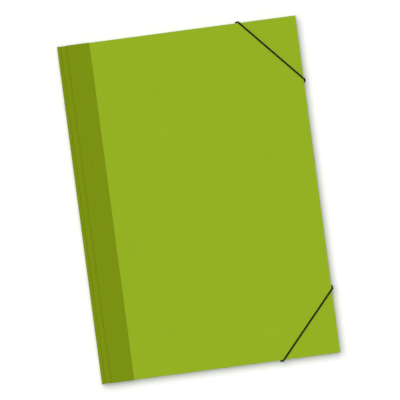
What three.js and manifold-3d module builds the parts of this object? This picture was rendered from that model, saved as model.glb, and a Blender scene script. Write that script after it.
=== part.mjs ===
import * as THREE from 'three';
import { mergeVertices } from 'three/addons/utils/BufferGeometryUtils.js';
import Module from 'manifold-3d';

// An A3 art portfolio: two paper-covered boards joined by a cloth spine, with three card
// flaps inside and an elastic cord over each fore-edge corner. It lies closed on its back
// cover. X runs from the spine to the fore edge, Y to the head and Z up, in millimetres.

// Covers
const coverWidth = 311; // from the spine's outer face to the fore edge
const coverHeight = 440; // from tail to head
const boardThickness = 2.4; // greyboard with its covering paper
const edgeSoftening = 0.3; // where the paper turns round a board's edge
const closedThickness = 13.2; // over the cloth on both covers

// Spine and its cloth joints
const clothThickness = 0.4;
const clothReach = 41.9; // from the spine's outer face onto each cover
const liningThickness = 0.3;
const liningReach = 38; // from the spine's outer face onto each cover's inside
const spineBoardThickness = 2;
const firstCrease = 4.4; // both creases are measured from the spine's outer face
const secondCrease = 12.2;
const creaseHalfWidth = 0.7;
const creaseDepth = 0.4;
const glueLine = 0.05;
const foldGap = 0.3; // where the spine ends short of the cloth that folds over it

// Elastic cords
const elasticRadius = 0.9; // a 2 mm cord, a little thinner under tension
const elasticClearance = 0.1;
const elasticHeadReach = 73.7; // from the corner to where the cord crosses the head edge
const elasticForeReach = 82.6; // from the corner to where it crosses the fore edge
const elasticDrift = 3.8; // how far it leans away from the corner on its way to the back

// Eyelets that the cords pass through, in the back cover
const eyeletInset = 8; // from the edge to the hole's centre
const eyeletWall = 0.4;
const eyeletBoreClearance = 0.3;
const eyeletHoleClearance = 0.3;
const eyeletFlangeRadius = 3.2;
const eyeletFlangeThickness = 0.3;
const eyeletRimRadius = 2.8;
const eyeletRimThickness = 0.4;

// Barbs: the steel T-shaped ends of the cords
const barbLength = 16;
const barbWidth = 3;
const barbThickness = 0.8;
const ferruleWall = 0.5;
const ferruleLength = 1.6;
const barbSeatGap = 0.1;

// Card flaps, folded over the sheets from three edges of the back cover
const flapThickness = 0.5;
const flapEdgeInset = 3; // from the cover's edge to the flap's wall
const flapFoldRadius = 0.9;
const flapTabDepth = 25; // glued to the back cover's inside
const flapStackGap = 0.3; // between the flaps, and under the front cover
const headFlapDepth = 118;
const headFlapSpineInset = 46; // from the spine's outer face to the head and tail flaps
const headFlapForeInset = 8;
const headFlapTaper = 26; // how much narrower each end is at the flap's free edge
const foreFlapDepth = 112;
const foreFlapEndInset = 38; // from the head and the tail to the fore-edge flap
const foreFlapTaper = 30;
const flapCornerRadius = 9;

// Levels that follow from these sizes
const flangeLevel = 2 * elasticRadius + elasticClearance;
const backOuterFace = flangeLevel + eyeletFlangeThickness + glueLine;
const backInnerFace = backOuterFace + boardThickness;
const backClothLevel = backOuterFace - glueLine - clothThickness;
const frontClothLevel = backClothLevel + closedThickness;
const frontOuterFace = frontClothLevel - clothThickness - glueLine;
const frontInnerFace = frontOuterFace - boardThickness;
const tabLevel = backInnerFace + glueLine;
const rimLevel = tabLevel + flapThickness + glueLine;
const boardStart = secondCrease + creaseHalfWidth + liningThickness + 2 * glueLine;
const elasticBend = elasticRadius + elasticClearance;
const eyeletBore = elasticRadius + eyeletBoreClearance;
const eyeletBarrel = eyeletBore + eyeletWall;
const eyeletHole = eyeletBarrel + eyeletHoleClearance;
const halfHeight = coverHeight / 2;

const wasm = await Module();
wasm.setup();

function toSolid(geometry) {
  const bare = geometry.clone();
  bare.deleteAttribute('normal');
  bare.deleteAttribute('uv');
  const merged = mergeVertices(bare, 1e-4);
  return new wasm.Manifold(new wasm.Mesh({
    numProp: 3,
    vertProperties: new Float32Array(merged.attributes.position.array),
    triVerts: new Uint32Array(merged.index.array),
  }));
}

function toGeometry(solid) {
  const mesh = solid.getMesh();
  const geometry = new THREE.BufferGeometry();
  geometry.setAttribute('position', new THREE.BufferAttribute(mesh.vertProperties, 3));
  geometry.setIndex(new THREE.BufferAttribute(mesh.triVerts, 1));
  geometry.computeVertexNormals();
  return geometry;
}

// The group's origin is the middle of the footprint, cords included, at their underside.
const portfolio = new THREE.Group();
portfolio.name = 'art_portfolio';
const closed = new THREE.Group();
closed.position.x = -(coverWidth + elasticClearance + 2 * elasticRadius) / 2;
portfolio.add(closed);

function place(name, geometry, color, roughness, metalness = 0) {
  const material = new THREE.MeshStandardMaterial({ color, roughness, metalness });
  const mesh = new THREE.Mesh(geometry, material);
  mesh.name = name;
  closed.add(mesh);
  return mesh;
}

const coverPaper = 0x94b125;
const spineCloth = 0x7b9113;
const liningCloth = 0x6b7f14;
const flapCard = 0x94b125;
const elasticBlack = 0x0c0c0c;
const nickel = 0xc9c8c2;

// Both boards: greyboard with its paper turned in round all four edges
function boardGeometry() {
  const outline = new THREE.Shape();
  outline.moveTo(boardStart + edgeSoftening, -halfHeight + edgeSoftening);
  outline.lineTo(coverWidth - edgeSoftening, -halfHeight + edgeSoftening);
  outline.lineTo(coverWidth - edgeSoftening, halfHeight - edgeSoftening);
  outline.lineTo(boardStart + edgeSoftening, halfHeight - edgeSoftening);
  const geometry = new THREE.ExtrudeGeometry(outline, {
    depth: boardThickness - 2 * edgeSoftening,
    bevelSize: edgeSoftening,
    bevelThickness: edgeSoftening,
    bevelSegments: 2,
  });
  return geometry.translate(0, 0, edgeSoftening);
}

const frontCover = place('front_cover', boardGeometry(), coverPaper, 0.55);
frontCover.position.z = frontInnerFace;

// The four places where a cord passes through the back cover. Each is named for its cord
// and its edge. along runs away from the corner, out points across the edge.
const anchors = [];
for (const [cord, side] of [['head', 1], ['tail', -1]]) {
  const corner = new THREE.Vector2(coverWidth, side * halfHeight);
  const crossings = [
    ['end', elasticHeadReach, new THREE.Vector2(-1, 0), new THREE.Vector2(0, side)],
    ['fore', elasticForeReach, new THREE.Vector2(0, -side), new THREE.Vector2(1, 0)],
  ];
  for (const [edge, reach, along, out] of crossings) {
    const hole = corner.clone().addScaledVector(along, reach + elasticDrift);
    hole.addScaledVector(out, -eyeletInset);
    anchors.push({ cord, edge, corner, reach, along, out, hole });
  }
}

function holeCutter(x, y) {
  const drill = new THREE.CylinderGeometry(eyeletHole, eyeletHole, closedThickness, 24);
  return toSolid(drill.rotateX(Math.PI / 2).translate(x, y, 0));
}

let backBoard = toSolid(boardGeometry());
for (const { hole } of anchors) {
  backBoard = backBoard.subtract(holeCutter(hole.x, hole.y));
}
const backCover = place('back_cover', toGeometry(backBoard), coverPaper, 0.55);
backCover.position.z = backOuterFace;

// A strip that runs from tail to head, from its section in X and Z
function spineStrip(section) {
  const outline = new THREE.Shape(section.map(([x, z]) => new THREE.Vector2(x, z)));
  const strip = new THREE.ExtrudeGeometry(outline, { depth: coverHeight, bevelEnabled: false });
  return strip.rotateX(Math.PI / 2).translate(0, halfHeight, 0);
}

// The line of a joint, from inset along it, with its two pressed creases. Depth is
// measured inward from the cloth's outer face.
function creasedLine(from, to, depth) {
  const line = [[from, depth]];
  for (const crease of [firstCrease, secondCrease]) {
    line.push([crease - creaseHalfWidth, depth]);
    line.push([crease, depth + creaseDepth]);
    line.push([crease + creaseHalfWidth, depth]);
  }
  line.push([to, depth]);
  return line;
}

const spineLiningOuter = clothThickness + glueLine + spineBoardThickness + glueLine;
const jointLiningDepth = clothThickness + glueLine;
const boardLegOuter = boardStart - glueLine;
const boardLegInner = boardLegOuter - liningThickness;
const insideDepth = jointLiningDepth + boardThickness + glueLine;

function clothSection() {
  const outer = creasedLine(clothThickness, clothReach, 0);
  const inner = creasedLine(0, clothReach, clothThickness);
  return [...outer, ...inner.reverse()];
}

// The lining crosses the joint behind the cloth, turns in down the board's edge and ends
// on the board's inside.
function liningSection() {
  const near = creasedLine(spineLiningOuter, boardLegOuter, jointLiningDepth);
  const far = creasedLine(spineLiningOuter, boardLegInner, jointLiningDepth + liningThickness);
  return [
    ...near,
    [boardLegOuter, insideDepth],
    [liningReach, insideDepth],
    [liningReach, insideDepth + liningThickness],
    [boardLegInner, insideDepth + liningThickness],
    ...far.reverse(),
  ];
}

const onBack = ([x, depth]) => [x, backClothLevel + depth];
const onFront = ([x, depth]) => [x, frontClothLevel - depth];
place('spine_cloth_back', spineStrip(clothSection().map(onBack)), spineCloth, 0.8);
place('spine_cloth_front', spineStrip(clothSection().map(onFront)), spineCloth, 0.8);
place('spine_lining_back', spineStrip(liningSection().map(onBack)), liningCloth, 0.8);
place('spine_lining_front', spineStrip(liningSection().map(onFront)), liningCloth, 0.8);

// The standing spine: cloth outside, board, and lining inside, between the two joints
function standingStrip(x, thickness, endDepth) {
  return spineStrip([
    [x, backClothLevel + endDepth],
    [x + thickness, backClothLevel + endDepth],
    [x + thickness, frontClothLevel - endDepth],
    [x, frontClothLevel - endDepth],
  ]);
}

const spineEnd = clothThickness + foldGap;
const liningEnd = jointLiningDepth + liningThickness + foldGap;
const middleCloth = standingStrip(0, clothThickness, spineEnd);
const spineBoard = standingStrip(jointLiningDepth, spineBoardThickness, spineEnd);
const middleLining = standingStrip(spineLiningOuter, liningThickness, liningEnd);
place('spine_cloth_middle', middleCloth, spineCloth, 0.8);
place('spine_board', spineBoard, 0x8d8779, 0.9);
place('spine_lining_middle', middleLining, liningCloth, 0.8);

// One flap, in its own frame: its wall stands along X at y = 0 and its panel reaches to
// -Y. One card is folded twice, into the glued tab, the wall and the panel.
function flapGeometry(length, depth, taper, panelTop, holes) {
  const r = flapFoldRadius;
  const inner = r - flapThickness;
  const section = new THREE.Shape();
  section.moveTo(-flapTabDepth, tabLevel);
  section.lineTo(-r, tabLevel);
  section.absarc(-r, tabLevel + r, r, -Math.PI / 2, 0);
  section.lineTo(0, panelTop - r);
  section.absarc(-r, panelTop - r, r, 0, Math.PI / 2);
  section.lineTo(-depth, panelTop);
  section.lineTo(-depth, panelTop - flapThickness);
  section.lineTo(-r, panelTop - flapThickness);
  section.absarc(-r, panelTop - r, inner, Math.PI / 2, 0, true);
  section.lineTo(-flapThickness, tabLevel + r);
  section.absarc(-r, tabLevel + r, inner, 0, -Math.PI / 2, true);
  section.lineTo(-flapTabDepth, tabLevel + flapThickness);
  const folded = new THREE.ExtrudeGeometry(section, {
    depth: length,
    bevelEnabled: false,
    curveSegments: 3,
  });
  folded.translate(0, 0, -length / 2).rotateX(Math.PI / 2).rotateZ(Math.PI / 2);

  const half = length / 2;
  const tip = half - taper;
  const corner = flapCornerRadius;
  const lean = new THREE.Vector2(taper, depth).normalize().multiplyScalar(corner);
  const blank = new THREE.Shape();
  blank.moveTo(-half, flapThickness);
  blank.lineTo(-half, -flapThickness);
  blank.lineTo(-tip - lean.x, -depth + lean.y);
  blank.quadraticCurveTo(-tip, -depth, -tip + corner, -depth);
  blank.lineTo(tip - corner, -depth);
  blank.quadraticCurveTo(tip, -depth, tip + lean.x, -depth + lean.y);
  blank.lineTo(half, -flapThickness);
  blank.lineTo(half, flapThickness);
  const cut = new THREE.ExtrudeGeometry(blank, {
    depth: frontInnerFace,
    bevelEnabled: false,
    curveSegments: 6,
  });

  let flap = toSolid(folded).intersect(toSolid(cut));
  for (const x of holes) {
    flap = flap.subtract(holeCutter(x, flapEdgeInset - eyeletInset));
  }
  return toGeometry(flap);
}

// The fore-edge flap closes last, over the head and tail flaps.
const forePanelTop = frontInnerFace - flapStackGap;
const headPanelTop = forePanelTop - flapThickness - flapStackGap;
const headFlapEnd = coverWidth - headFlapForeInset;
const headFlapLength = headFlapEnd - headFlapSpineInset;
const headFlapCentre = (headFlapEnd + headFlapSpineInset) / 2;
for (const [name, cord, side, turn] of [['head_flap', 'head', 1, 0], ['tail_flap', 'tail', -1, Math.PI]]) {
  const hole = anchors.find((anchor) => anchor.cord === cord && anchor.edge === 'end').hole;
  const holes = [side * (hole.x - headFlapCentre)];
  const card = flapGeometry(headFlapLength, headFlapDepth, headFlapTaper, headPanelTop, holes);
  const flap = place(name, card, flapCard, 0.7);
  flap.position.set(headFlapCentre, side * (halfHeight - flapEdgeInset), 0);
  flap.rotation.z = turn;
}
const foreFlapLength = coverHeight - 2 * foreFlapEndInset;
const foreHoles = anchors.filter((anchor) => anchor.edge === 'fore').map((anchor) => anchor.hole.y);
const foreCard = flapGeometry(foreFlapLength, foreFlapDepth, foreFlapTaper, forePanelTop, foreHoles);
const foreFlap = place('fore_edge_flap', foreCard, flapCard, 0.7);
foreFlap.position.x = coverWidth - flapEdgeInset;
foreFlap.rotation.z = -Math.PI / 2;

// Eyelet: a flange outside, a barrel through the board and the flap's tab, and a rim
// rolled over inside. The profile closes on itself round the bore.
function eyeletGeometry() {
  const rimTop = rimLevel + eyeletRimThickness;
  const profile = [
    [eyeletBore, flangeLevel],
    [eyeletFlangeRadius - eyeletFlangeThickness / 2, flangeLevel],
    [eyeletFlangeRadius, flangeLevel + eyeletFlangeThickness],
    [eyeletBarrel, flangeLevel + eyeletFlangeThickness],
    [eyeletBarrel, rimLevel],
    [eyeletRimRadius, rimLevel],
    [eyeletRimRadius - eyeletRimThickness / 2, rimTop],
    [eyeletBarrel, rimTop],
    [eyeletBore, rimTop - eyeletRimThickness / 2],
    [eyeletBore, flangeLevel],
  ];
  const points = profile.map(([radius, height]) => new THREE.Vector2(radius, height));
  return new THREE.LatheGeometry(points, 24).rotateX(Math.PI / 2);
}

// Barb: a flat bar with round ends, with a ferrule under its middle that grips the cord
const ferruleBore = elasticRadius + elasticClearance;
const barbSeat = rimLevel + eyeletRimThickness + barbSeatGap;
const barLevel = barbSeat + ferruleLength;

function barbGeometry() {
  const end = barbWidth / 2;
  const reach = barbLength / 2 - end;
  const outline = new THREE.Shape();
  outline.absarc(reach, 0, end, -Math.PI / 2, Math.PI / 2);
  outline.absarc(-reach, 0, end, Math.PI / 2, 1.5 * Math.PI);
  const bar = new THREE.ExtrudeGeometry(outline, {
    depth: barbThickness,
    bevelEnabled: false,
    curveSegments: 4,
  }).translate(0, 0, barLevel);
  const bite = barbThickness / 4;
  const ring = [
    [ferruleBore, barbSeat],
    [ferruleBore + ferruleWall, barbSeat],
    [ferruleBore + ferruleWall, barLevel + bite],
    [ferruleBore, barLevel + bite],
    [ferruleBore, barbSeat],
  ].map(([radius, height]) => new THREE.Vector2(radius, height));
  const ferrule = new THREE.LatheGeometry(ring, 20).rotateX(Math.PI / 2);
  return toGeometry(toSolid(bar).add(toSolid(ferrule)));
}

for (const { cord, edge, along, hole } of anchors) {
  const eyelet = place(`eyelet_${cord}_${edge}`, eyeletGeometry(), nickel, 0.3, 1);
  eyelet.position.set(hole.x, hole.y, 0);
  const barb = place(`barb_${cord}_${edge}`, barbGeometry(), nickel, 0.4, 1);
  barb.position.set(hole.x, hole.y, 0);
  barb.rotation.z = Math.atan2(along.y, along.x);
}

// The route of a cord at one of its edges: over the front edge, down the side as it leans
// away from the corner, round the back edge, in to the eyelet, and up into the ferrule.
function edgeRoute({ corner, reach, along, out, hole }) {
  const bendSteps = 4;
  const sideSteps = 3;
  const points = [];
  const frontArc = (Math.PI / 2) * elasticBend;
  const side = frontOuterFace - backOuterFace;
  const travel = 2 * frontArc + side;
  function add(outward, z, done) {
    const left = 1 - done / travel;
    const lean = elasticDrift * (1 - left * left);
    const spot = corner.clone().addScaledVector(along, reach + lean);
    spot.addScaledVector(out, outward);
    points.push(new THREE.Vector3(spot.x, spot.y, z));
  }
  for (let i = 0; i <= bendSteps; i++) {
    const angle = (Math.PI / 2) * (i / bendSteps);
    const z = frontOuterFace + elasticBend * Math.cos(angle);
    add(elasticBend * Math.sin(angle), z, frontArc * (i / bendSteps));
  }
  for (let i = 1; i < sideSteps; i++) {
    const down = side * (i / sideSteps);
    add(elasticBend, frontOuterFace - down, frontArc + down);
  }
  const drop = backOuterFace - elasticRadius;
  for (let i = 0; i <= bendSteps; i++) {
    const angle = (Math.PI / 2) * (i / bendSteps);
    const z = backOuterFace - drop * Math.sin(angle);
    add(elasticBend * Math.cos(angle), z, frontArc + side + frontArc * (i / bendSteps));
  }
  for (let i = 0; i <= bendSteps; i++) {
    const angle = (Math.PI / 2) * (i / bendSteps);
    const spot = hole.clone().addScaledVector(out, eyeletBore * (1 - Math.sin(angle)));
    const z = flangeLevel - elasticBend * Math.cos(angle);
    points.push(new THREE.Vector3(spot.x, spot.y, z));
  }
  points.push(new THREE.Vector3(hole.x, hole.y, barLevel - elasticClearance));
  return points;
}

for (const cord of ['head', 'tail']) {
  const [endEdge, foreEdge] = anchors.filter((anchor) => anchor.cord === cord);
  const points = [...edgeRoute(endEdge).reverse(), ...edgeRoute(foreEdge)];
  const route = new THREE.CatmullRomCurve3(points);
  // One section at each point, so that the tight bends at the edges keep their shape
  route.getUtoTmapping = (u) => u;
  const section = new THREE.Shape().absarc(0, 0, elasticRadius, 0, 2 * Math.PI);
  const elastic = new THREE.ExtrudeGeometry(section, {
    steps: points.length - 1,
    extrudePath: route,
    curveSegments: 4,
  });
  place(`elastic_${cord}`, elastic, elasticBlack, 0.8);
}

export default portfolio;
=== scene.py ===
import math

import bmesh
import bpy
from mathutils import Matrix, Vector


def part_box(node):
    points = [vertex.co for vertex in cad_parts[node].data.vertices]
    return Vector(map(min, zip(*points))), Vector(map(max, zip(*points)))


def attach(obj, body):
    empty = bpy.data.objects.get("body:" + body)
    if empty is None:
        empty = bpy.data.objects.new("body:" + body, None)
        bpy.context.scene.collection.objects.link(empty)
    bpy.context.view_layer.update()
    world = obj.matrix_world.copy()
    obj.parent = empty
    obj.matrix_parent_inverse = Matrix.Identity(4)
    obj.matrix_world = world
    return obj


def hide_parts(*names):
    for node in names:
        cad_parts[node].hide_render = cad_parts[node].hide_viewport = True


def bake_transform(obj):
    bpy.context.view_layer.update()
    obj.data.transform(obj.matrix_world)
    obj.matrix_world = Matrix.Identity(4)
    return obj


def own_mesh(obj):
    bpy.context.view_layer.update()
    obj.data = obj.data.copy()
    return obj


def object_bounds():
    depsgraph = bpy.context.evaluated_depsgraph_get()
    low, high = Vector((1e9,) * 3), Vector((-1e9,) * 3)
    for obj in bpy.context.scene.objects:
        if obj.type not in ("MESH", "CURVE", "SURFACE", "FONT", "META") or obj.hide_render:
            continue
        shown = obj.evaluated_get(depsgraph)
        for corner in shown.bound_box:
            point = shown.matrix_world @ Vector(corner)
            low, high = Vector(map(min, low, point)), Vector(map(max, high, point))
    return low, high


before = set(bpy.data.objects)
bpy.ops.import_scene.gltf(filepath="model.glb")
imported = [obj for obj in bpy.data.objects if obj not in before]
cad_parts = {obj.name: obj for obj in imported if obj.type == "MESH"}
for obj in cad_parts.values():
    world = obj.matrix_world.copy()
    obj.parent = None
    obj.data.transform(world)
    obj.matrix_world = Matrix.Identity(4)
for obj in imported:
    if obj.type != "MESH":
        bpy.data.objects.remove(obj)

cad_low, cad_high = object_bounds()

# Camera: it looks straight down from far above, so that the covers show no perspective.
# The portfolio lies turned a little to the left in the picture, so the camera is turned
# the other way about its own axis.
PICTURE_WIDTH = 0.5174
CAMERA_HEIGHT = 6.0
CAMERA_X = 0.00084
CAMERA_Y = -0.00055
CAMERA_TURN = -7.608
camera_data = bpy.data.cameras.new("overhead_camera")
camera_data.sensor_width = 36
camera_data.lens = 36 * CAMERA_HEIGHT / PICTURE_WIDTH
camera_data.clip_end = 50
overhead_camera = bpy.data.objects.new("overhead_camera", camera_data)
overhead_camera.location = (CAMERA_X, CAMERA_Y, CAMERA_HEIGHT + cad_high.z)
overhead_camera.rotation_euler = (0, 0, math.radians(CAMERA_TURN))
bpy.context.scene.collection.objects.link(overhead_camera)
bpy.context.scene.camera = overhead_camera


# Covers: two greyboards in matt lime paper. The paper is glued over the outside, turned in
# round all four edges and closed on the inside by a sheet of paler lime paper. The CAD
# boards carry the covering paper, and the inside sheets are thin pieces of their own.
class Term:
    """A number that varies over a surface, so that a material's sums read as sums."""

    def __init__(self, finish, socket):
        self.finish = finish
        self.socket = socket

    def maths(self, operation, *values):
        return self.finish.add("ShaderNodeMath", {"operation": operation}, dict(enumerate(values)))

    def __add__(self, other):
        return self.maths("ADD", self, other)

    def __radd__(self, other):
        return self.maths("ADD", other, self)

    def __mul__(self, other):
        return self.maths("MULTIPLY", self, other)

    def __rmul__(self, other):
        return self.maths("MULTIPLY", other, self)

    def sine(self):
        return self.maths("SINE", self)

    def size(self):
        return self.maths("ABSOLUTE", self)

    def beside(self, output):
        """Another output of the same node."""
        return Term(self.finish, self.socket.node.outputs[output])


class Finish:
    """A material on the principled shader, built up from terms."""

    def __init__(self, name, **shader):
        self.material = bpy.data.materials.new(name)
        self.material.use_nodes = True
        self.tree = self.material.node_tree
        self.shader = self.tree.nodes["Principled BSDF"]
        for socket, value in shader.items():
            self.shader.inputs[socket.replace("_", " ")].default_value = value

    def feed(self, entry, value):
        if isinstance(value, Term):
            self.tree.links.new(value.socket, entry)
        else:
            entry.default_value = value

    def add(self, kind, settings, sockets, output=0):
        node = self.tree.nodes.new(kind)
        for setting, value in settings.items():
            setattr(node, setting, value)
        for entry, value in sockets.items():
            self.feed(node.inputs[entry], value)
        return Term(self, node.outputs[output])

    def coordinates(self, source="Object"):
        return self.add("ShaderNodeTexCoord", {}, {}, source)

    def noise(self, place, scale, detail=2.0, roughness=0.5):
        sockets = {"Vector": place, "Scale": scale, "Detail": detail, "Roughness": roughness}
        return self.add("ShaderNodeTexNoise", {}, sockets, "Fac")

    def blend(self, factor, first, second):
        sockets = {0: factor, 6: first, 7: second}
        return self.add("ShaderNodeMix", {"data_type": "RGBA"}, sockets, 2)

    def finish(self, color, roughness, height, depth):
        """Sets the color, the roughness and a relief of the given depth."""
        relief = {"Height": height, "Distance": depth, "Strength": 1.0}
        self.feed(self.shader.inputs["Base Color"], color)
        self.feed(self.shader.inputs["Roughness"], roughness)
        self.feed(self.shader.inputs["Normal"], self.add("ShaderNodeBump", {}, relief, "Normal"))
        return self.material


def tint(color, share):
    return tuple(channel * share for channel in color) + (1.0,)


LIME = (0.291, 0.434, 0.0135)
INSIDE_LIME = (0.40, 0.52, 0.10)
COVER_TOOTH = 0.00005
INSIDE_TOOTH = 0.00002
CARD_TOOTH = 0.000012


def paper_material(name, color, tooth):
    """Matt coloured paper: faint clouds, short fibres and a fine tooth."""
    paper = Finish(name, Specular_IOR_Level=0.06)
    place = paper.coordinates()
    clouds = paper.noise(place, 30, 3.0, 0.6)
    fibres = paper.noise(place, 900, 4.0, 0.7)
    grain = paper.noise(place, 3200, 2.0, 0.6)
    shade = clouds * 0.45 + fibres * 0.35 + grain * 0.2
    surface = paper.blend(shade, tint(color, 0.93), tint(color, 1.07))
    return paper.finish(surface, 0.62 + fibres * 0.16, fibres * 0.6 + grain * 0.4, tooth)


cover_paper = paper_material("lime_cover_paper", LIME, COVER_TOOTH)
inside_paper = paper_material("pale_lime_inside_paper", INSIDE_LIME, INSIDE_TOOTH)


def dress(node, material):
    """Gives a CAD node its finish."""
    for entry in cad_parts[node].material_slots:
        entry.link = "OBJECT"
        entry.material = material


for cover in ("front_cover", "back_cover"):
    dress(cover, cover_paper)


def piece(name, points, faces, material, body, uv=None):
    """Makes a mesh piece. It rides on the body, if one is given. uv has one place for
    each point."""
    mesh = bpy.data.meshes.new(name)
    mesh.from_pydata([tuple(p) for p in points], [], faces)
    if uv is not None:
        layer = mesh.uv_layers.new(name="flat")
        for loop in mesh.loops:
            layer.data[loop.index].uv = uv[loop.vertex_index]
    work = bmesh.new()
    work.from_mesh(mesh)
    bmesh.ops.recalc_face_normals(work, faces=work.faces)
    work.to_mesh(mesh)
    work.free()
    mesh.materials.append(material)
    made = bpy.data.objects.new(name, mesh)
    bpy.context.scene.collection.objects.link(made)
    if body is not None:
        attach(made, body)
    return made


def smooth(made, angle=35):
    """Rounds the shading, but not across edges sharper than the angle."""
    made.data.shade_smooth()
    made.data.set_sharp_from_angle(angle=math.radians(angle))


INSIDE_SHEET = 0.00014
SHEET_CORNER = 0.0015
PAPER_MARGIN = 0.004
LINING_MARGIN = 0.0002
TAB_MARGIN = 0.0255
GLUE = 0.00002


def sheet_piece(name, low, high, body, up):
    """A rectangle of glued paper with rounded corners, lying on a board's inside face."""
    outline = []
    for corner_x, corner_y, start in (
        (high[0] - SHEET_CORNER, high[1] - SHEET_CORNER, 0),
        (low[0] + SHEET_CORNER, high[1] - SHEET_CORNER, 90),
        (low[0] + SHEET_CORNER, low[1] + SHEET_CORNER, 180),
        (high[0] - SHEET_CORNER, low[1] + SHEET_CORNER, 270),
    ):
        for step in range(5):
            angle = math.radians(start + 22.5 * step)
            x = corner_x + SHEET_CORNER * math.cos(angle)
            y = corner_y + SHEET_CORNER * math.sin(angle)
            outline.append((x, y))
    count = len(outline)
    levels = (low[2], low[2] + up * INSIDE_SHEET)
    points = [(x, y, z) for z in levels for x, y in outline]
    faces = [tuple(range(count)), tuple(range(count, 2 * count))]
    faces += [(i, (i + 1) % count, count + (i + 1) % count, count + i) for i in range(count)]
    return piece(name, points, faces, inside_paper, body)


front_low, front_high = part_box("front_cover")
back_low, back_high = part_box("back_cover")
lining_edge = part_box("spine_lining_front")[1].x
sheet_start = lining_edge + LINING_MARGIN
sheet_piece(
    "front_inside_sheet",
    (sheet_start, front_low.y + PAPER_MARGIN, front_low.z - GLUE),
    (front_high.x - PAPER_MARGIN, front_high.y - PAPER_MARGIN),
    "front_cover", -1,
)
tab_edge_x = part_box("fore_edge_flap")[1].x - TAB_MARGIN
tab_edge_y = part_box("head_flap")[1].y - TAB_MARGIN
sheet_piece(
    "back_inside_sheet",
    (sheet_start, -tab_edge_y, back_high.z + GLUE),
    (tab_edge_x, tab_edge_y),
    "back_cover", 1,
)

# Flaps: one lime card each, folded into a glued tab, a wall and a panel. They keep their
# CAD shape. The card is smoother than the covering paper.
flap_card = paper_material("lime_flap_card", LIME, CARD_TOOTH)
for flap in ("head_flap", "tail_flap", "fore_edge_flap"):
    dress(flap, flap_card)

# Spine board: a strip of raw greyboard that stands between the two cloth joints. It is
# covered all round, by the cloth, the cloth's turned-in ends and the lining.
BOARD_TOOTH = 0.00004
raw_board = Finish("raw_greyboard", Specular_IOR_Level=0.1)
board_place = raw_board.coordinates()
board_fleck = raw_board.noise(board_place, 1500, 4.0, 0.7)
board_color = raw_board.blend(board_fleck, (0.16, 0.145, 0.115, 1), (0.36, 0.335, 0.28, 1))
raw_board.finish(board_color, 0.9, board_fleck, BOARD_TOOTH)
dress("spine_board", raw_board.material)

# Spine cloth: one strip of olive green book cloth in plain weave. It is glued round the
# spine board and onto both covers, with two creases pressed into each joint. It is made in
# two halves that meet on the spine's face, each going round one of the spine's corners.
OLIVE = (0.212, 0.302, 0.0047)
LINING_OLIVE = (0.150, 0.215, 0.006)
THREAD = 0.00042
WEAVE_DEPTH = 0.0001


def cloth_material(name, color):
    """Plain weave that follows the strip: the threads pass over and under in turn."""
    cloth = Finish(name, Specular_IOR_Level=0.06)
    flat = cloth.coordinates("UV")
    across = cloth.add("ShaderNodeSeparateXYZ", {}, {0: flat})
    along = across.beside("Y")
    slub = cloth.noise(flat, 260, 3.0, 0.6)
    wave = math.pi / THREAD
    weave = (across * wave).sine() * (along * wave).sine()
    ridge = weave.size()
    # The colour is lighter on the thread crowns and darker in the hollows between them, which is
    # painted shade of the weave. One set of crossings is also a little lighter than the other, and
    # the slubs are the yarn's own tone.
    shade = ridge * 0.35 + weave * 0.12 + slub * 0.5
    surface = cloth.blend(shade, tint(color, 0.80), tint(color, 1.23))
    return cloth.finish(surface, 0.86, ridge * 0.7 + slub * 0.5, WEAVE_DEPTH)


book_cloth = cloth_material("olive_book_cloth", OLIVE)
lining_cloth = cloth_material("olive_lining_cloth", LINING_OLIVE)

spine_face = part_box("spine_cloth_middle")[0].x
cloth_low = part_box("spine_cloth_back")[0].z
cloth_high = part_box("spine_cloth_front")[1].z
cloth_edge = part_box("spine_cloth_front")[1].x
half_height = front_high.y
spine_middle = (cloth_low + cloth_high) / 2
CLOTH = 0.0004
CORNER = 0.0006
CREASES = (0.0049, 0.0127)
CREASE_WIDTH = 0.001
CREASE_DEPTH = 0.00065
CREASE_SHOULDER = 0.0006
FOLD_ZONE = 0.0016
STRIP_ROWS = 45


def crease_dip(x):
    """How far the joint's surface is pressed in at a distance from the spine's face."""
    dip = 0.0
    for crease in CREASES:
        near = abs(x - crease) / CREASE_WIDTH
        if near < 1:
            dip = max(dip, CREASE_DEPTH * (0.5 + 0.5 * math.cos(math.pi * near)))
    return dip


def joint_stations(start, end):
    """Distances from the spine's face, close together where the creases are."""
    stations = [start + (CREASES[0] - CREASE_WIDTH - start) * i / 3 for i in range(3)]
    for crease in CREASES:
        stations += [crease + CREASE_WIDTH * (i / 5 - 1) for i in range(11)]
    shoulder = CREASES[1] + CREASE_WIDTH + CREASE_SHOULDER
    return stations + [shoulder + (end - shoulder) * i / 6 for i in range(7)]


def strip_shell(name, line, thickness, reach, material):
    """Sweeps a section line from tail to head. Each station is a place and the unit
    vector into the strip, both in X and Z."""
    rows = STRIP_ROWS
    size = len(line)
    lengths = [0.0]
    for before, after in zip(line, line[1:]):
        lengths.append(lengths[-1] + math.dist(before[0], after[0]))
    points, uv = [], []
    for shift in (0.0, thickness):
        for walked, ((x, z), (inward_x, inward_z)) in zip(lengths, line):
            for row in range(rows):
                y = -reach + 2 * reach * row / (rows - 1)
                points.append((x + inward_x * shift, y, z + inward_z * shift))
                uv.append((walked, y))

    def at(side, station, row):
        return (side * size + station) * rows + row

    faces = []
    for station in range(size - 1):
        for row in range(rows - 1):
            ring = [(station, row), (station + 1, row), (station + 1, row + 1), (station, row + 1)]
            faces.append(tuple(at(0, *spot) for spot in ring))
            faces.append(tuple(at(1, *spot) for spot in reversed(ring)))
        for row in (0, rows - 1):
            faces.append((at(0, station, row), at(0, station + 1, row),
                          at(1, station + 1, row), at(1, station, row)))
    for row in range(rows - 1):
        for station in (0, size - 1):
            faces.append((at(0, station, row), at(0, station, row + 1),
                          at(1, station, row + 1), at(1, station, row)))
    made = piece(name, points, faces, material, None, uv)
    smooth(made, 40)
    return made


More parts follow.
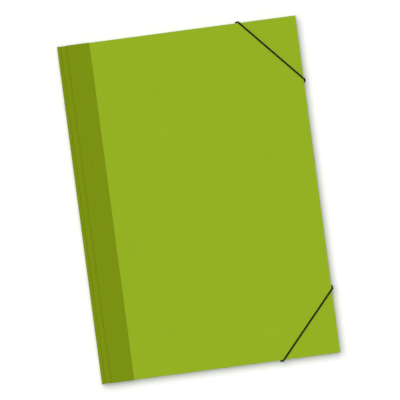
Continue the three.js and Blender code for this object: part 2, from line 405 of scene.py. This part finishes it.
def cloth_line(level, up):
    """From the middle of the spine's face, round the corner, to the edge on the cover."""
    turn = level - up * CORNER
    rise = turn - spine_middle
    line = [((spine_face, spine_middle + rise * i / 4), (1, 0)) for i in range(4)]
    for step in range(7):
        angle = math.pi / 2 * step / 6
        away = (-math.cos(angle), up * math.sin(angle))
        spot = (spine_face + CORNER * (1 + away[0]), turn + CORNER * away[1])
        line.append((spot, (-away[0], -away[1])))
    for distance in joint_stations(FOLD_ZONE, cloth_edge - spine_face):
        spot = (spine_face + distance, level - up * crease_dip(distance))
        line.append((spot, (0, -up)))
    return line


def bend_at_joint(made):
    """Bakes the strip's placement into its mesh."""
    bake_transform(made)


front_cloth = strip_shell("spine_cloth_front_half", cloth_line(cloth_high, 1), CLOTH,
                          half_height, book_cloth)
back_cloth = strip_shell("spine_cloth_back_half", cloth_line(cloth_low, -1), CLOTH,
                         half_height, book_cloth)
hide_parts("spine_cloth_front", "spine_cloth_middle")
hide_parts("spine_cloth_back", "spine_cloth_middle")
bend_at_joint(front_cloth)
bend_at_joint(back_cloth)

# Turned-in cloth: at the head and the tail the same cloth is turned in over the ends of
# the spine board and of both cover boards, and glued to their insides. The lining and the
# inside sheets stop short of these ends.
TURN_IN = 0.0036
TURNED_CLOTH = 0.0003
TURN_GAP = 0.00004
CLEARANCE = 0.0001
END_GAP = 0.00001


def turned_end(name, start, out, inward, along, length, depth, body):
    """A strip of cloth round a board's end. start is on the cloth's outer face at the end,
    out points past the end, inward goes through the board and along runs beside it."""
    turn = TURNED_CLOTH + TURN_GAP
    outer, inner = [(0.0, 0.0)], [(0.0, TURNED_CLOTH)]
    for bend_depth, first in ((turn, -90), (depth - turn, 0)):
        for step in range(5):
            angle = math.radians(first + 22.5 * step)
            reach = (math.cos(angle), math.sin(angle))
            outer.append((turn * reach[0], bend_depth + turn * reach[1]))
            inner.append((TURN_GAP * reach[0], bend_depth + TURN_GAP * reach[1]))
    outer.append((CLEARANCE - TURN_IN, depth))
    inner.append((CLEARANCE - TURN_IN, depth - TURNED_CLOTH))
    points, uv = [], []
    for path in (outer, inner):
        walked = 0.0
        for number, (far, deep) in enumerate(path):
            if number:
                walked += math.dist(path[number - 1], path[number])
            for distance in (0.0, length):
                points.append(start + out * far + inward * deep + along * distance)
                uv.append((distance, walked))
    size = len(outer)
    faces = []
    for i in range(size - 1):
        a, b = 2 * i, 2 * (i + size)
        faces.append((a, a + 2, a + 3, a + 1))
        faces.append((b, b + 1, b + 3, b + 2))
        faces.append((a, b, b + 2, a + 2))
        faces.append((a + 1, a + 3, b + 3, b + 1))
    last, other = 2 * (size - 1), 2 * (2 * size - 1)
    faces.append((0, 1, 2 * size + 1, 2 * size))
    faces.append((last, other, other + 1, last + 1))
    smooth(piece(name, points, faces, book_cloth, body, uv))


board_start = front_low.x
cover_length = cloth_edge - board_start
spine_low, spine_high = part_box("spine_board")
past_board = TURNED_CLOTH + TURN_GAP
across_spine = Vector((1, 0, 0))
up_spine = Vector((0, 0, 1))
for end, side in (("head", 1), ("tail", -1)):
    y = side * (half_height + END_GAP)
    out = Vector((0, side, 0))
    turned_end(f"front_cloth_turned_{end}", Vector((board_start, y, cloth_high)), out,
               -up_spine, across_spine, cover_length,
               cloth_high - front_low.z + past_board, "front_cover")
    turned_end(f"back_cloth_turned_{end}", Vector((board_start, y, cloth_low)), out,
               up_spine, across_spine, cover_length,
               back_high.z - cloth_low + past_board, "back_cover")
    turned_end(f"spine_cloth_turned_{end}", Vector((spine_face, y, spine_low.z)), out,
               across_spine, up_spine, spine_high.z - spine_low.z,
               spine_high.x - spine_face + past_board, "spine")

# Spine lining: a thinner strip of the same cloth that closes the joints from the inside.
# It runs up the inside of the spine board, crosses the joint behind the cloth, turns in
# down the board's edge and ends on the board's inside face.
LINING = 0.0003
LINING_GAP = 0.00005
TURN_HEIGHT = 0.0012
TURN_REACH = 0.0009
LEG_CORNER = 0.0002
LEG_STEP = 0.0006
lining_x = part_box("spine_lining_middle")[0].x


def lining_line(level, up, inside):
    """From the middle of the spine's inside to the edge on the cover's inside. The
    places are on the glued face, so the strip's thickness points into the pocket."""
    joint = level - up * (CLOTH + LINING_GAP)
    turn = joint - up * TURN_HEIGHT
    rise = turn - spine_middle
    line = [((lining_x, spine_middle + rise * i / 4), (1, 0)) for i in range(5)]
    for step in range(1, 5):
        angle = math.pi / 2 * step / 5
        x = lining_x + TURN_REACH * (1 - math.cos(angle))
        z = turn + up * TURN_HEIGHT * math.sin(angle)
        line.append(((x, z), (math.cos(angle), -up * math.sin(angle))))
    leg = front_low.x - LINING_GAP
    start = lining_x - spine_face + TURN_REACH + CLEARANCE
    for distance in joint_stations(start, leg - spine_face):
        if distance <= CREASES[1]:
            line.append(((spine_face + distance, joint - up * crease_dip(distance)), (0, -up)))
    bottom = joint - up * (CREASE_DEPTH + CLEARANCE)
    glued = inside - up * LINING_GAP
    line.append(((leg - LEG_CORNER, bottom), (-0.3, -up)))
    line.append(((leg, bottom - up * LEG_CORNER), (-1, -up * 0.3)))
    line.append(((leg, inside + up * LEG_CORNER), (-1, 0)))
    line.append(((leg, glued), (-0.8, -up * 0.8)))
    line.append(((leg + LEG_STEP, glued), (0, -up)))
    for i in range(1, 5):
        line.append(((leg + (lining_edge - leg) * i / 4, glued), (0, -up)))
    return line


front_lining = strip_shell("spine_lining_front_half", lining_line(cloth_high, 1, front_low.z),
                           LINING, half_height - TURN_IN, lining_cloth)
back_lining = strip_shell("spine_lining_back_half", lining_line(cloth_low, -1, back_high.z),
                          LINING, half_height - TURN_IN, lining_cloth)
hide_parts("spine_lining_front", "spine_lining_middle")
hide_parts("spine_lining_back", "spine_lining_middle")
bend_at_joint(front_lining)
bend_at_joint(back_lining)

# Eyelets: nickel-plated steel, pressed from a thin tube. Each has a domed flange against
# the back cover's outside, a barrel through the board and the flap's tab, and a rim that
# is rolled over inside. They are spun about the holes' axes.
NICKEL_PITS = 0.00002
nickel = Finish("nickel_plate", Metallic=1.0)
nickel_place = nickel.coordinates()
nickel_cloud = nickel.noise(nickel_place, 400, 3.0, 0.6)
nickel_color = nickel.blend(nickel_cloud, (0.50, 0.49, 0.46, 1), (0.62, 0.61, 0.58, 1))
nickel.finish(nickel_color, 0.24 + nickel_cloud * 0.16, nickel_cloud, NICKEL_PITS)

BORE = 0.0012
BARREL = 0.0016
RIM = 0.0028
ROLL = 0.0004
DOME = 0.0003
FLANGE = 0.00034
FLANGE_LIP = 0.00005
THROAT = ((0.0, 0.00045), (0.0001, 0.00018), (0.0003, 0.00005))
DOME_ANGLES = (38, 50, 62, 74, 84, 90)
ROLL_ANGLES = (0, 25, 50, 75, 100, 125, 150, 180)


def eyelet_profile(low, high, reach):
    """Radius and height round the section: the throat, the domed flange, its seat, the
    barrel and the rolled rim."""
    profile = [(BORE + wider, low + higher) for wider, higher in THROAT]
    for angle in map(math.radians, DOME_ANGLES):
        profile.append((reach * math.sin(angle), low + DOME * (1 - math.cos(angle))))
    profile.append((reach - FLANGE_LIP, low + FLANGE))
    profile.append((BARREL, low + FLANGE))
    profile.append((BARREL, high - ROLL))
    half = (RIM - BORE) / 2
    for angle in map(math.radians, ROLL_ANGLES):
        profile.append((RIM - half + half * math.cos(angle), high - ROLL + ROLL * math.sin(angle)))
    return profile


def spun(name, profile, centre, material, body, sides=64):
    """Turns a closed section about an upright axis."""
    points, faces = [], []
    count = len(profile)
    for turn in range(sides):
        angle = 2 * math.pi * turn / sides
        for radius, height in profile:
            x, y = centre[0] + radius * math.cos(angle), centre[1] + radius * math.sin(angle)
            points.append((x, y, height))
    for turn in range(sides):
        after = (turn + 1) % sides
        for i in range(count):
            j = (i + 1) % count
            faces.append((turn * count + i, turn * count + j, after * count + j, after * count + i))
    made = piece(name, points, faces, material, body)
    smooth(made, 50)
    return made


for cord in ("head", "tail"):
    for edge in ("end", "fore"):
        low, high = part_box(f"eyelet_{cord}_{edge}")
        centre = ((low.x + high.x) / 2, (low.y + high.y) / 2)
        section = eyelet_profile(low.z, high.z, (high.x - low.x) / 2)
        eyelet = spun(f"eyelet_{cord}_{edge}_rolled", section, centre,
                      nickel.material, "back_cover")
        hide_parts(f"eyelet_{cord}_{edge}")

# Barbs: the T-shaped steel ends that hold the cords on the inside, each a flat bar with a
# ferrule that grips the cord. They keep their CAD shape, in the same nickel plate.
for cord in ("head", "tail"):
    for edge in ("end", "fore"):
        dress(f"barb_{cord}_{edge}", nickel.material)

# Elastic cords: black braided elastic, stretched over the fore-edge corners. Each is a
# rubber core under a braid of twelve yarns, six wound each way, 2.2 mm thick in all. It runs
# from its barb through an eyelet, round the edges and over the front cover.
CORD_HEIGHT = 0.0011
CORD_BEND = 0.0012
UNDER_EYELET = 0.00095
EYELET_FLANGE = 0.00035
BARB_BAR = 0.0009
HEAD_REACH = 0.0737
FORE_REACH = 0.0826
DRIFT = 0.0038
EYELET_INSET = 0.008


def cord_end(corner, reach, along, out, front, back):
    """The cord's way round one edge, from the front face to its barb. It leans away
    from the corner as it goes."""
    arc = CORD_BEND * math.pi / 2
    side = front - back
    travel = 2 * arc + side
    flange = back - EYELET_FLANGE
    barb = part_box("barb_head_end")[1].z - BARB_BAR
    places = []

    def put(outward, z, done):
        lean = DRIFT * (1 - (1 - done / travel) ** 2)
        spot = corner + along * (reach + lean) + out * outward
        places.append(Vector((spot.x, spot.y, z)))

    for i in range(9):
        angle = math.pi / 2 * i / 8
        put(CORD_BEND * math.sin(angle), front + CORD_BEND * math.cos(angle), arc * i / 8)
    for i in range(1, 8):
        put(CORD_BEND, front - side * i / 8, arc + side * i / 8)
    for i in range(9):
        angle = math.pi / 2 * i / 8
        z = back - (back - CORD_HEIGHT) * math.sin(angle)
        put(CORD_BEND * math.cos(angle), z, arc + side + arc * i / 8)
    hole = corner + along * (reach + DRIFT) - out * EYELET_INSET
    for i in range(9):
        angle = math.pi / 2 * i / 8
        spot = hole + out * BORE * (1 - math.sin(angle))
        z = flange - (flange - UNDER_EYELET) * math.cos(angle)
        places.append(Vector((spot.x, spot.y, z)))
    places.append(Vector((hole.x, hole.y, barb)))
    return places


# The braid's tree takes these inputs. The outer radius is the first three added up.
BRAID = {
    "Braid Radius": 0.0009,
    "Yarn Radius": 0.00017,
    "Weave": 0.00005,
    "Pitch": 0.006,
    "Step": 0.00025,
    "Core Radius": 0.00098,
    "Yarns Each Way": 6,
}


def braid_tree(material):
    """Winds yarns both ways round a route, over and under one another."""
    tree = bpy.data.node_groups.new("braided_cord", "GeometryNodeTree")
    face = tree.interface
    face.new_socket("Route", in_out="INPUT", socket_type="NodeSocketGeometry")
    for label, value in BRAID.items():
        kind = "NodeSocketInt" if isinstance(value, int) else "NodeSocketFloat"
        face.new_socket(label, in_out="INPUT", socket_type=kind)
    face.new_socket("Cord", in_out="OUTPUT", socket_type="NodeSocketGeometry")
    given = tree.nodes.new("NodeGroupInput").outputs
    result = tree.nodes.new("NodeGroupOutput").inputs

    def add(kind, sockets, output=0, **settings):
        node = tree.nodes.new(kind)
        for setting, value in settings.items():
            setattr(node, setting, value)
        for entry, value in sockets.items():
            if isinstance(value, bpy.types.NodeSocket):
                tree.links.new(value, node.inputs[entry])
            else:
                node.inputs[entry].default_value = value
        return node.outputs[output]

    def maths(operation, first, second=0.0):
        return add("ShaderNodeMath", {0: first, 1: second}, operation=operation)

    route = add("GeometryNodeMeshToCurve", {0: given["Route"]})
    even = add("GeometryNodeResampleCurve", {"Curve": route, "Length": given["Step"]}, mode="LENGTH")
    total = maths("MULTIPLY", given["Yarns Each Way"], 2.0)
    copies = tree.nodes.new("GeometryNodeDuplicateElements")
    copies.domain = "SPLINE"
    tree.links.new(even, copies.inputs["Geometry"])
    tree.links.new(total, copies.inputs["Amount"])
    index = copies.outputs["Duplicate Index"]
    hand = maths("SUBTRACT", maths("MULTIPLY", maths("MODULO", index, 2.0), 2.0), 1.0)
    place = maths("DIVIDE", maths("FLOOR", maths("DIVIDE", index, 2.0)), given["Yarns Each Way"])
    travel = add("GeometryNodeSplineParameter", {}, 1)
    turns = maths("DIVIDE", travel, given["Pitch"])
    whole = maths("ADD", maths("MULTIPLY", turns, hand), place)
    angle = maths("MULTIPLY", whole, 2 * math.pi)
    wave = maths("MULTIPLY", maths("MULTIPLY", turns, given["Yarns Each Way"]), 2 * math.pi)
    rise = maths("MULTIPLY", maths("MULTIPLY", maths("COSINE", wave), hand), given["Weave"])
    radius = maths("ADD", given["Braid Radius"], rise)
    normal = add("GeometryNodeInputNormal", {})
    tangent = add("GeometryNodeInputTangent", {})
    binormal = add("ShaderNodeVectorMath", {0: normal, 1: tangent}, operation="CROSS_PRODUCT")
    sideways = add("ShaderNodeVectorMath",
                   {0: normal, "Scale": maths("MULTIPLY", radius, maths("COSINE", angle))},
                   operation="SCALE")
    upward = add("ShaderNodeVectorMath",
                 {0: binormal, "Scale": maths("MULTIPLY", radius, maths("SINE", angle))},
                 operation="SCALE")
    offset = add("ShaderNodeVectorMath", {0: sideways, 1: upward}, operation="ADD")
    wound = add("GeometryNodeSetPosition",
                {"Geometry": copies.outputs["Geometry"], "Offset": offset})
    yarn = add("GeometryNodeCurvePrimitiveCircle", {"Resolution": 5, "Radius": given["Yarn Radius"]})
    braid = add("GeometryNodeCurveToMesh", {"Curve": wound, "Profile Curve": yarn, "Fill Caps": True})
    ring = add("GeometryNodeCurvePrimitiveCircle", {"Resolution": 12, "Radius": given["Core Radius"]})
    core = add("GeometryNodeCurveToMesh", {"Curve": even, "Profile Curve": ring, "Fill Caps": True})
    joined = tree.nodes.new("GeometryNodeJoinGeometry")
    tree.links.new(core, joined.inputs[0])
    tree.links.new(braid, joined.inputs[0])
    real = add("GeometryNodeRealizeInstances", {0: joined.outputs[0]})
    painted = add("GeometryNodeSetMaterial", {"Geometry": real, "Material": material})
    tree.links.new(painted, result[0])
    return tree


DARK_YARN = (0.001, 0.001, 0.0012, 1)
LIGHT_YARN = (0.005, 0.005, 0.0055, 1)
ELASTIC_FUZZ = 0.00002
elastic = Finish("black_elastic_braid", Specular_IOR_Level=0.12)
elastic_place = elastic.coordinates()
elastic_fuzz = elastic.noise(elastic_place, 5000, 3.0, 0.7)
elastic_color = elastic.blend(elastic_fuzz, DARK_YARN, LIGHT_YARN)
elastic.finish(elastic_color, 0.72, elastic_fuzz, ELASTIC_FUZZ)
braided_cord = braid_tree(elastic.material)

front_face = front_high.z
back_face = back_low.z
for cord, side in (("head", 1), ("tail", -1)):
    corner = Vector((back_high.x, side * back_high.y))
    first = cord_end(corner, HEAD_REACH, Vector((-1, 0)), Vector((0, side)), front_face, back_face)
    second = cord_end(corner, FORE_REACH, Vector((0, -side)), Vector((1, 0)), front_face, back_face)
    route = first[::-1] + second
    line = bpy.data.meshes.new(f"elastic_{cord}_route")
    line.from_pydata(route, [(i, i + 1) for i in range(len(route) - 1)], [])
    guide = bpy.data.objects.new(f"elastic_{cord}_guide", line)
    bpy.context.scene.collection.objects.link(guide)
    winding = guide.modifiers.new("braid", "NODES")
    winding.node_group = braided_cord
    for entry in braided_cord.interface.items_tree:
        if entry.name in BRAID:
            winding[entry.identifier] = BRAID[entry.name]
    settled = bpy.context.evaluated_depsgraph_get()
    mesh = bpy.data.meshes.new_from_object(guide.evaluated_get(settled), depsgraph=settled)
    guide.modifiers.remove(winding)
    bpy.data.objects.remove(guide)
    made = bpy.data.objects.new(f"elastic_{cord}_braid", mesh)
    bpy.context.scene.collection.objects.link(made)
    made.data.shade_smooth()
    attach(made, "back_cover")
    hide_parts(f"elastic_{cord}")
    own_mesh(made)

# Floor and light: a plain white floor that fades into a white surround, one large soft
# lamp high at the upper left, and an even sky.
FLOOR_GLOW = 0.055
LAMP_STRENGTH = 0.85
LAMP_SPREAD = 57
SKY_STRENGTH = 0.19
floor_finish = Finish("white_floor", Specular_IOR_Level=0.0, Roughness=1.0)
floor_finish.shader.inputs["Base Color"].default_value = (0.97, 0.97, 0.97, 1)
seen = floor_finish.add("ShaderNodeLightPath", {}, {}, "Is Camera Ray")
faint = {"Color": (1, 1, 1, 1), "Strength": seen * FLOOR_GLOW}
glow = floor_finish.add("ShaderNodeEmission", {}, faint)
painted_floor = Term(floor_finish, floor_finish.shader.outputs[0])
both = floor_finish.add("ShaderNodeAddShader", {}, {0: painted_floor, 1: glow})
floor_finish.feed(floor_finish.tree.nodes["Material Output"].inputs["Surface"], both)
bpy.ops.mesh.primitive_plane_add(size=12, location=(0, 0, 0))
floor = bpy.context.object
floor.name = "floor"
floor.data.materials.append(floor_finish.material)

key_data = bpy.data.lights.new("key_softbox", "SUN")
key_data.energy = LAMP_STRENGTH * math.pi
key_data.angle = math.radians(LAMP_SPREAD)
key = bpy.data.objects.new("key_softbox", key_data)
key_direction = Vector((0.19, -0.25, -1.0))
key.rotation_mode = "QUATERNION"
key.rotation_quaternion = key_direction.to_track_quat("-Z", "Y")
bpy.context.scene.collection.objects.link(key)

sky = bpy.data.worlds.new("studio_surround")
bpy.context.scene.world = sky
sky.use_nodes = True
sky_tree = sky.node_tree
background = sky_tree.nodes["Background"]
background.inputs["Color"].default_value = (1, 1, 1, 1)
path = sky_tree.nodes.new("ShaderNodeLightPath")
shown = sky_tree.nodes.new("ShaderNodeMath")
shown.operation = "MAXIMUM"
sky_tree.links.new(path.outputs["Is Camera Ray"], shown.inputs[0])
sky_tree.links.new(path.outputs["Is Glossy Ray"], shown.inputs[1])
level = sky_tree.nodes.new("ShaderNodeMapRange")
level.inputs["To Min"].default_value = SKY_STRENGTH
level.inputs["To Max"].default_value = 1.0
sky_tree.links.new(shown.outputs[0], level.inputs["Value"])
sky_tree.links.new(level.outputs[0], background.inputs["Strength"])

bpy.context.scene.view_settings.view_transform = "Standard"
